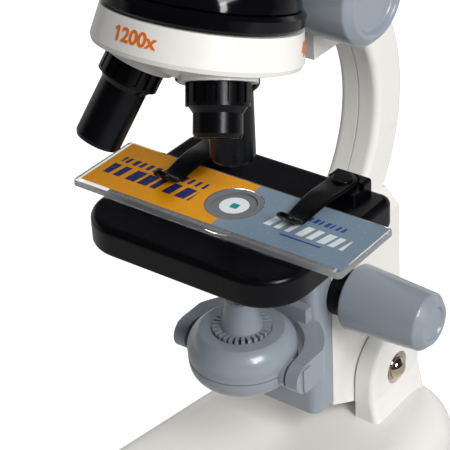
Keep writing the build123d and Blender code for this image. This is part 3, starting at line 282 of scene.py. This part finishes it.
# specimen disc: white card with one small square teal speck in the middle
ringLow, ringHigh = (Vector(corner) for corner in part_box("specimen_ring"))
ringMiddle = (ringLow + ringHigh) / 2
specimen = {"dotHalf": 1.02 * mm, "dotShift": (0.2 * mm, -0.1 * mm), "wobble": 0.3 * mm, "wobbleScale": 900,
            "teal": (0.0, 0.27, 0.25), "card": (0.80, 0.84, 0.85), "fibreScale": 1500, "fibreDull": 0.95,
            "rough": 0.5, "fibreRough": 0.1}


def specimenCard(name, p):
    s = Shader(name)
    x, y = s.xyz(s.place)[:2]
    u = abs(x - (ringMiddle.x + p["dotShift"][0]))
    v = abs(y - (ringMiddle.y + p["dotShift"][1]))
    wobble = s.noise(p["wobbleScale"], 2.0) * p["wobble"] - p["wobble"] / 2
    dot = (u.math("MAXIMUM", v) + wobble) < p["dotHalf"]
    fibre = s.noise(p["fibreScale"], 3.0)
    card = s.mix(fibre, tuple(c * p["fibreDull"] for c in p["card"]), p["card"])
    s.put(Base_Color=s.mix(dot, card, p["teal"]), Roughness=p["rough"] + fibre * p["fibreRough"])
    return s.material


# printed label: two colours that meet beside the ring, rows of slanted bars, ink a little uneven
label = {"x": (-36.6, 37.4), "y": (-19.4, 0.4), "lift": 0.004, "thick": 0.045, "holeGap": 0.25, "split": 2.1,
         "columns": 240, "rings": 10, "orange": (0.78, 0.315, 0.002), "grey": (0.20, 0.275, 0.35),
         "ior": 1.3, "rough": 0.2, "raggedScale": 2600, "ragged": 0.12, "barSpread": 0.35,
         "inkScale": 700, "inkShade": 0.14, "inkDark": (0.02, 0.02, 0.02), "inkRough": 0.12,
         "waveScale": 90, "waveDepth": 0.00002, "waveBump": 0.3}
barRows = [
    {"ink": "navy", "x": (-33.6, -8.4), "y": (-8.0, -5.5), "pitch": 2.1, "duty": 0.42, "slant": 0.12, "seed": 3.0},
    {"ink": "navy", "x": (-34.2, -8.4), "y": (-14.0, -9.2), "pitch": 3.7, "duty": 0.48, "slant": 0.12, "seed": 9.0},
    {"ink": "pale", "x": (11.6, 33.4), "y": (-12.8, -8.5), "pitch": 2.9, "duty": 0.4, "slant": 0.2, "seed": 5.0},
    {"ink": "blue", "x": (18.6, 29.6), "y": (-6.6, -4.7), "pitch": 1.5, "duty": 0.4, "slant": 0.2, "seed": 2.0},
    {"ink": "blue", "x": (17.6, 28.6), "y": (-14.6, -14.1), "pitch": 40.0, "duty": 1.0, "slant": 0.0, "seed": 1.0},
]
barInks = {"navy": (0.018, 0.025, 0.12), "pale": (0.74, 0.80, 0.83), "blue": (0.02, 0.06, 0.27)}


# one row of bars: 1 inside a bar, bar widths drawn from each bar's number
def barMask(s, x, y, r):
    along = (x - y * r["slant"]) / r["pitch"]
    draw = s.add("TexWhiteNoise", {"noise_dimensions": "1D"}, {"W": along.math("FLOOR") + r["seed"]})
    bar = along.math("FRACT") < draw * label["barSpread"] + r["duty"]
    inside = (x > r["x"][0]) * (x < r["x"][1]) * (y > r["y"][0]) * (y < r["y"][1])
    return bar * inside


def labelPrint(name, p):
    s = Shader(name)
    x, y = (axis / mm for axis in s.xyz(s.place)[:2])
    ragged = (s.noise(p["raggedScale"], 2.0) - 0.5) * p["ragged"]
    colour = s.mix((x + ragged) > p["split"], p["orange"], p["grey"])
    for row in barRows:
        colour = s.mix(barMask(s, x + ragged, y + ragged, row), colour, barInks[row["ink"]])
    ink = s.noise(p["inkScale"], 3.0, 0.6)
    s.put(Base_Color=s.mix(ink * p["inkShade"], colour, p["inkDark"]))
    s.put(Roughness=p["rough"] + ink * p["inkRough"], IOR=p["ior"])
    s.bump(s.noise(p["waveScale"], 1.0), p["waveDepth"], p["waveBump"])
    return s.material


# orange ink of the turret's numbers, a little patchy
numbers = {"text": {-90.0: "1200x", 30.0: "400x", 150.0: "100x"}, "charWidth": 2.22, "height": 3.15, "low": -5.2,
           "bold": 0.034, "flag": [(-0.2, 0.64), (0.0, 0.77), (0.0, 1.0), (-0.2, 0.83)], "flatDepth": 0.5,
           "topRadius": 22.065, "slope": 0.174, "lift": 0.035, "thick": 0.04, "ink": (0.80, 0.165, 0.004),
           "patchScale": 1400, "dull": 0.88, "rough": 0.34, "patchRough": 0.15, "depth": 0.000006, "bump": 0.4}


def numberInk(name, p):
    s = Shader(name)
    patchy = s.noise(p["patchScale"], 3.0, 0.6)
    s.put(Base_Color=s.mix(patchy, tuple(v * p["dull"] for v in p["ink"]), p["ink"]))
    s.put(Roughness=p["rough"] + patchy * p["patchRough"])
    s.bump(patchy, p["depth"], p["bump"])
    return s.material


finishes = {k: mouldedPlastic(k, p) for k, p in plastics.items()}
finishes.update({k: platedMetal(k, p) for k, p in metals.items()})
finishes.update({k: mattSurface(k, p) for k, p in matts.items()})
finishes.update({k: clearSurface(k, p) for k, p in clears.items()})
finishes["mirror"] = mirrorSurface("mirror", mirror)
finishes["white_disc"] = specimenCard("white_disc", specimen)
finishes["labelPrint"] = labelPrint("labelPrint", label)
finishes["numberInk"] = numberInk("numberInk", numbers)

for part in frame["record"]["subparts"]:
    slots = nodes[part["node"]].data.materials
    slots.clear()
    slots.append(finishes["ringGrey" if part["node"] == "specimen_ring" else part["material_slot"]])
print("finishes set:", len(finishes))


# a mesh object from whole arrays of points and faces
def makePiece(name, points, faces, finish, body, smooth=False):
    mesh = bpy.data.meshes.new(name)
    mesh.from_pydata(points.tolist(), [], faces)
    mesh.polygons.foreach_set("use_smooth", [smooth] * len(mesh.polygons))
    mesh.materials.append(finishes[finish])
    piece = bpy.data.objects.new(name, mesh)
    bpy.context.scene.collection.objects.link(piece)
    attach(piece, body)
    return piece


# faces of a grid that closes in both directions
def ringFaces(rows, columns):
    i, j = np.meshgrid(np.arange(rows), np.arange(columns), indexing="ij")
    corner = lambda a, b: (a % rows) * columns + b % columns
    quads = np.stack([corner(i, j), corner(i, j + 1), corner(i + 1, j + 1), corner(i + 1, j)], axis=-1)
    return quads.reshape(-1, 4).tolist()


# label sheet: P(t, v) = (1 - v) hole(t) + v edge(t), v runs out along the top and back along the underside
def makeLabel(p):
    low, high = (Vector(corner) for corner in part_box("specimen_slide"))
    middle = np.array(ringMiddle[:2])
    holeRadius = (ringHigh.x - ringLow.x) / 2 + p["holeGap"] * mm
    sides = np.array([p["x"], p["y"]]) * mm
    corners = np.array([(sides[0, a], sides[1, b]) for a, b in ((0, 0), (1, 0), (1, 1), (0, 1))]) - middle
    turns = np.unwrap(np.arctan2(corners[:, 1], corners[:, 0]))
    turns = np.append(turns, turns[0] + 2 * np.pi)
    quarter = p["columns"] // 4
    t = np.concatenate([np.linspace(turns[k], turns[k + 1], quarter, endpoint=False) for k in range(4)])
    way = np.stack([np.cos(t), np.sin(t)], axis=-1)
    tiny = 1e-9
    reach = np.where(way > 0, sides[:, 1] - middle, sides[:, 0] - middle) / np.where(np.abs(way) < tiny, tiny, way)
    edge = way * reach.min(axis=1, keepdims=True)
    hole = way * holeRadius
    v = np.linspace(0, 1, p["rings"])
    v = np.concatenate([v, v[::-1]])[:, None, None]
    flat = middle + (1 - v) * hole + v * edge
    level = high.z + p["lift"] * mm + p["thick"] * mm * (np.arange(2 * p["rings"]) < p["rings"])
    points = np.concatenate([flat, np.broadcast_to(level[:, None, None], flat.shape[:2] + (1,))], axis=-1)
    faces = ringFaces(2 * p["rings"], 4 * quarter)
    makePiece("slideLabel", points.reshape(-1, 3), [f[::-1] for f in faces], "labelPrint", "slide")


# faces of a flat bar, its lower four corners first
barFaces = [(3, 2, 1, 0), (4, 5, 6, 7), (0, 1, 5, 4), (1, 2, 6, 5), (2, 3, 7, 6), (3, 0, 4, 7)]


# turret numbers: a flat number (u, v, w) goes to angle a0 + u / R, height v and radius R(v) + w on the band's cone
def makeNumbers(p):
    joint = next(j for j in frame["record"]["behaviour"]["joints"] if j["name"] == "turret_spin")
    pivot = np.array(joint["pos_m"])
    up = np.array(joint["axis"]) / np.linalg.norm(joint["axis"])
    side = np.array((1.0, 0.0, 0.0))
    ahead = np.cross(up, side)
    for angle, text in p["text"].items():
        flatText = bpy.data.curves.new("flatNumber", "FONT")
        flatText.body, flatText.offset, flatText.extrude = text, p["bold"], p["flatDepth"]
        holder = bpy.data.objects.new("flatNumber", flatText)
        mesh = bpy.data.meshes.new_from_object(holder)
        flat = np.empty(len(mesh.vertices) * 3)
        mesh.vertices.foreach_get("co", flat)
        flat = flat.reshape(-1, 3)
        faces = [list(f.vertices) for f in mesh.polygons]
        low, high = flat.min(axis=0), flat.max(axis=0)
        if text.startswith("1"):  # the flag of the one: a slanted bar, (x, y) in number heights from the stem's foot
            corner = low[:2] + np.array(p["flag"]) * (high[1] - low[1])
            bar = np.concatenate([np.column_stack([corner, np.full(4, level)]) for level in (low[2], high[2])])
            faces += [[len(flat) + k for k in face] for face in barFaces]
            flat = np.concatenate([flat, bar])
            low = flat.min(axis=0)
        size = np.array((p["charWidth"] * len(text), p["height"], p["thick"])) * mm
        u, v, w = ((flat - low) / (high - low) * size).T
        v = v + p["low"] * mm
        radius = p["topRadius"] * mm - p["slope"] * v
        a = math.radians(angle) + (u - size[0] / 2) / radius
        out = (radius + p["lift"] * mm + w)[:, None]
        points = pivot + out * (np.cos(a)[:, None] * side + np.sin(a)[:, None] * ahead) + v[:, None] * up
        makePiece("turretNumber" + text, points, faces, "numberInk", "turret")
        bpy.data.objects.remove(holder)
        bpy.data.curves.remove(flatText)
        bpy.data.meshes.remove(mesh)


# faces of rings that close round and end in one point at each end; the points are all rings, then the two ends
def tubeFaces(rows, columns):
    i, j = np.meshgrid(np.arange(rows - 1), np.arange(columns), indexing="ij")
    around = (j + 1) % columns
    here, below = i * columns, (i + 1) * columns
    quads = np.stack([here + j, here + around, below + around, below + j], axis=-1)
    k, after, last = np.arange(columns), (np.arange(columns) + 1) % columns, (rows - 1) * columns
    start = np.stack([np.full(columns, rows * columns), after, k], axis=-1)
    end = np.stack([last + k, last + after, np.full(columns, rows * columns + 1)], axis=-1)
    return quads.reshape(-1, 4).tolist() + start.tolist() + end.tolist()


# softened corners: each inner corner C becomes (1 - t)^2 A + 2 t (1 - t) C + t^2 B, with A and B one cut away from C,
# or legShare of the shorter leg
def softened(corners, cut, steps=6, legShare=0.45):
    c = np.array(corners, float)
    legs = np.diff(c, axis=0)
    length = np.linalg.norm(legs, axis=1, keepdims=True)
    way = legs / length
    reach = np.minimum(cut, np.minimum(length[:-1], length[1:]) * legShare)
    a, b = c[1:-1] - way[:-1] * reach, c[1:-1] + way[1:] * reach
    t = np.linspace(0, 1, steps)[:, None, None]
    curve = (1 - t) ** 2 * a + 2 * t * (1 - t) * c[1:-1] + t ** 2 * b
    return np.concatenate([c[:1], curve.transpose(1, 0, 2).reshape(-1, 2), c[-1:]])


# turned piece: P(t, a) = (x0 + side s(t), y0 + r(t) cos a, z0 + r(t) sin a), the profile (s, r) in millimetres
# ends on the axis
def makeTurned(name, node, profile, start, side, finish, body, columns=96):
    low, high = (Vector(corner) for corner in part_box(node))
    a = np.arange(columns) * 2 * np.pi / columns
    s, r = (profile[:, k, None] * mm for k in (0, 1))
    flat = np.ones(columns)
    middle = (low + high) / 2
    rings = np.stack([start + side * s * flat, middle.y + r * np.cos(a), middle.z + r * np.sin(a)], axis=-1)
    points = np.concatenate([rings[1:-1].reshape(-1, 3), rings[[0, -1], 0]])
    faces = tubeFaces(len(profile) - 2, columns)
    piece = makePiece(name, points, faces if side > 0 else [f[::-1] for f in faces], finish, body, True)
    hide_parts(node)


# focus knobs: bevelled end with a round dish, blind bore on the shaft
knobs = {
    "coarse": {"rIn": 11.9, "rOut": 11.9, "lip": 0.7, "bevel": 2.0, "dish": 8.8, "deep": 1.5, "lean": 0.5,
               "soft": 0.5, "boreGap": 0.05},
    "fine": {"rIn": 8.7, "rOut": 7.5, "lip": 0.6, "bevel": 2.0, "dish": 4.5, "deep": 0.9, "lean": 0.5,
             "soft": 0.45, "boreGap": 0.05},
}


def makeKnobs(kind, p):
    shaftLow, shaftHigh = (Vector(corner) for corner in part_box(kind + "_shaft"))
    bore = (shaftHigh.z - shaftLow.z) / 2 / mm + p["boreGap"]
    for hand, side in (("Right", 1), ("Left", -1)):
        node = kind + "_knob_" + hand.lower()
        low, high = (Vector(corner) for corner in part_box(node))
        start, far = (low.x, shaftHigh.x) if side > 0 else (high.x, shaftLow.x)
        length = (high.x - low.x) / mm
        grip = side * (far - start) / mm + p["boreGap"]
        floor = length - p["deep"]
        corners = [(grip, 0), (grip, bore), (0, bore), (0, p["rIn"] - p["lip"]), (p["lip"], p["rIn"]),
                   (length - p["bevel"], p["rOut"]), (length, p["rOut"] - p["bevel"]), (length, p["dish"]),
                   (floor, p["dish"] - p["deep"] * p["lean"]), (floor, 0)]
        profile = softened(corners, p["soft"])
        makeTurned(kind + "Knob" + hand, node, profile, start, side, "grey_plastic", kind + "_drive")


# hinge bolt: shank, then a drum head in its recess, a shoulder and a domed end
bolt = {"shank": 2.5, "head": 3.4, "cadHead": 2.2, "drum": 2.6, "shoulder": 3.05, "dome": 2.5, "soft": 0.3,
        "domeSteps": 14, "columns": 64}


def makeBolt(p):
    low, high = (Vector(corner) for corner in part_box("hinge_bolt"))
    seat = (high.x - low.x) / mm - p["cadHead"]
    top = seat + p["drum"]
    corners = [(0, 0), (0, p["shank"]), (seat, p["shank"]), (seat, p["head"]), (top, p["head"]), (top, p["shoulder"])]
    body = softened(corners, p["soft"])
    t = np.linspace(0, np.pi / 2, p["domeSteps"])[1:]
    dome = np.stack([top + p["dome"] * np.sin(t), p["shoulder"] * np.cos(t)], axis=-1)
    profile = np.concatenate([body, dome])
    makeTurned("hingeBolt", "hinge_bolt", profile, low.x, 1, "nickel", "base", p["columns"])


# spring clip: P(u, v) = path(u) + across(u, v) x + thick(u, v) n(u); the path is a cubic through the points below
# (forward of the pivot, above the leaf's middle), the section is a flat bar with round sides
clip = {"points": [(3.5, 0.0), (0.0, 0.0), (-3.5, 0.0), (-8.5, 0.3), (-13.0, 0.15)],
        "touch": -18.4, "lip": [(-20.5, 0.5), (-22.3, 2.0), (-23.6, 3.7)],
        "halfAt": [3.5, 3.5, 3.5, 3.35, 3.1, 2.75, 2.75, 2.85, 2.85],
        "thick": 1.0, "button": 0.6, "gap": 0.1, "turn": 1.0, "rows": 120, "sideSteps": 7}


def makeClip(hand, side, p):
    rivetLow, rivetHigh = (Vector(corner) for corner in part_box("clip_rivet_" + hand.lower()))
    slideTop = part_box("specimen_slide")[1][2]
    k = p["thick"] / 2
    leafMiddle = rivetHigh.z - (p["button"] + k) * mm
    touchZ = (slideTop - leafMiddle) / mm + p["gap"] + k
    lip = [(y, touchZ + z) for y, z in p["lip"]]
    c = np.array(p["points"] + [(p["touch"], touchZ)] + lip)
    slope = np.gradient(c, axis=0)
    u = np.linspace(0, len(c) - 1, p["rows"])
    i = np.minimum(u.astype(int), len(c) - 2)
    t = (u - i)[:, None]
    path = ((2 * t + 1) * (1 - t) ** 2 * c[i] + t * (1 - t) ** 2 * slope[i]
            + t ** 2 * (3 - 2 * t) * c[i + 1] + t ** 2 * (t - 1) * slope[i + 1])
    along = np.gradient(path, axis=0)
    along /= np.linalg.norm(along, axis=1, keepdims=True)
    walked = np.concatenate([[0], np.cumsum(np.linalg.norm(np.diff(path, axis=0), axis=1))])
    half = np.interp(u, np.arange(len(c)), p["halfAt"])
    fromEnd = np.minimum(walked, walked[-1] - walked)
    half = half * np.sqrt(1 - np.clip(1 - fromEnd / half, 0, 1) ** 2)
    bar = k * np.sqrt(np.minimum(1, half / k))
    turn = np.concatenate([np.linspace(-0.5, 0.5, p["sideSteps"]), np.linspace(0.5, 1.5, p["sideSteps"])]) * np.pi
    edge = np.repeat([1.0, -1.0], p["sideSteps"])
    across = edge * np.maximum(half - bar, 0)[:, None] + np.minimum(bar, half)[:, None] * np.cos(turn)
    thick = bar[:, None] * np.sin(turn)
    y = path[:, :1] + thick * along[:, 1:]
    z = path[:, 1:] - thick * along[:, :1]
    a = math.radians(-p["turn"])
    x, y = across * math.cos(a) - y * math.sin(a), across * math.sin(a) + y * math.cos(a)
    middle = (rivetLow + rivetHigh) / 2
    rings = np.stack([middle.x + side * x * mm, middle.y + y * mm, leafMiddle + z * mm], axis=-1)
    points = np.concatenate([rings[1:-1].reshape(-1, 3), rings[[0, -1], 0]])
    faces = tubeFaces(p["rows"] - 2, 2 * p["sideSteps"])
    piece = makePiece("clip" + hand, points, faces if side > 0 else [f[::-1] for f in faces], "black_satin",
                      "clip_" + hand.lower() + "_swing", True)
    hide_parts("clip_" + hand.lower())


# drum seam: a bead round the joint of the drum's halves,
# P(t, a) = ((R + w cos a) cos t, (R + w cos a) sin t, h sin a)
seam = {"proud": 0.07, "half": 0.17, "columns": 160, "rows": 10}


def makeSeam(p):
    low, high = (Vector(corner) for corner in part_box("lamp_housing_lower"))
    t = np.arange(p["columns"]) * 2 * np.pi / p["columns"]
    a = np.arange(p["rows"])[:, None] * 2 * np.pi / p["rows"]
    out = (high.y - low.y) / 2 + p["proud"] * mm * np.cos(a)
    up = high.z + p["half"] * mm * np.sin(a) * np.ones_like(t)
    middle = (low + high) / 2
    rings = np.stack([middle.x + out * np.cos(t), middle.y + out * np.sin(t), up], axis=-1)
    faces = ringFaces(p["rows"], p["columns"])
    makePiece("drumSeam", rings.reshape(-1, 3), faces, "ringGrey", "lamp", True)


makeLabel(label)
makeNumbers(numbers)
makeSeam(seam)
print("label, numbers and drum seam made")
for kind, p in knobs.items():
    makeKnobs(kind, p)
makeBolt(bolt)
makeClip("Right", 1, clip)
makeClip("Left", -1, clip)
print("knobs, bolt and clips made")


# soft studio: pale floor and white surround; mirrored, the surround is white behind the object and dim in front
# and overhead
studio = {"floorHalf": 3.0, "floorColour": (0.44, 0.44, 0.44), "floorGrain": 40, "floorShade": 0.99, "floorRough": 0.9,
          "floorWhite": 0.88, "floorMirrored": 0.16, "worldLight": 0.20, "white": (1.0, 1.0, 1.0),
          "dim": (0.05, 0.05, 0.055), "riseFade": (0.15, 0.45), "behind": (-0.618, 0.786), "behindFade": (-0.1, 0.5)}
# lamps: turn from the front towards +X and height above the floor in degrees, distance and width in metres,
# the low one and the one behind only fill and are not mirrored
lamps = {
    "keyRight": {"turn": 70, "rise": 38, "away": 1.0, "size": 0.36, "power": 7.1, "mirrored": True},
    "lowRight": {"turn": 92, "rise": 12, "away": 1.0, "size": 0.30, "power": 2.0, "mirrored": False},
    "sparkRight": {"turn": 63, "rise": 26, "away": 1.0, "size": 0.12, "power": 1.3, "mirrored": True},
    "backLeft": {"turn": 228, "rise": 28, "away": 1.2, "size": 0.60, "power": 6.4, "mirrored": False},
}
lampAim = Vector((0, 0, 0.11))


def makeStudio(p):
    world = bpy.data.worlds.new("studioWorld")
    bpy.context.scene.world = world
    world.use_nodes = True
    world.node_tree.nodes.clear()
    s = NodeTree(world.node_tree)
    x, y, z = s.xyz(s.add("TexCoord", out="Generated"))
    behind = x * p["behind"][0] + y * p["behind"][1]
    rise, back = (s.add("MapRange", {"interpolation_type": "SMOOTHSTEP"}, {0: way, 1: low, 2: high})
                  for way, (low, high) in ((z, p["riseFade"]), (behind, p["behindFade"])))
    light = s.add("Background", {}, {"Color": p["white"], "Strength": p["worldLight"]})
    room = s.add("Background", {}, {"Color": s.mix(back * (1 - rise), p["dim"], p["white"]), "Strength": 1.0})
    plain = s.add("Background", {}, {"Color": p["white"], "Strength": 1.0})
    straight, mirrored = s.seenRays()
    lit = s.add("MixShader", {}, {0: mirrored, 1: light, 2: room})
    s.add("OutputWorld", {}, {"Surface": s.add("MixShader", {}, {0: straight, 1: lit, 2: plain})}, out=None)


# floor: close to white for the camera, and the light on it makes up the rest, so the shadow stays
def makeFloor(p):
    h = p["floorHalf"]
    mesh = bpy.data.meshes.new("studioFloor")
    mesh.from_pydata([(-h, -h, 0), (h, -h, 0), (h, h, 0), (-h, h, 0)], [], [(0, 1, 2, 3)])
    floor = bpy.data.objects.new("studioFloor", mesh)
    bpy.context.scene.collection.objects.link(floor)
    s = Shader("studioFloor")
    grain = s.noise(p["floorGrain"], 2.0)
    shade = tuple(c * p["floorShade"] for c in p["floorColour"])
    s.put(Base_Color=s.mix(grain, shade, p["floorColour"]), Roughness=p["floorRough"])
    straight, mirrored = s.seenRays()
    glow = s.mix(mirrored, (0, 0, 0), (p["floorMirrored"],) * 3)
    s.put(Emission_Color=s.mix(straight, glow, (p["floorWhite"],) * 3), Emission_Strength=1.0)
    mesh.materials.append(s.material)


def makeLamp(name, p):
    data = bpy.data.lights.new(name, "AREA")
    data.size, data.energy = p["size"], p["power"]
    turn, rise = math.radians(p["turn"]), math.radians(p["rise"])
    way = Vector((math.sin(turn) * math.cos(rise), -math.cos(turn) * math.cos(rise), math.sin(rise)))
    lamp = bpy.data.objects.new(name, data)
    lamp.visible_glossy = p["mirrored"]
    lamp.location = lampAim + way * p["away"]
    lamp.rotation_mode = "QUATERNION"
    lamp.rotation_quaternion = (-way).to_track_quat("-Z", "Y")
    bpy.context.scene.collection.objects.link(lamp)


makeStudio(studio)
makeFloor(studio)
for name, p in lamps.items():
    makeLamp(name, p)
bpy.context.scene.view_settings.view_transform = "Standard"
print("studio set")
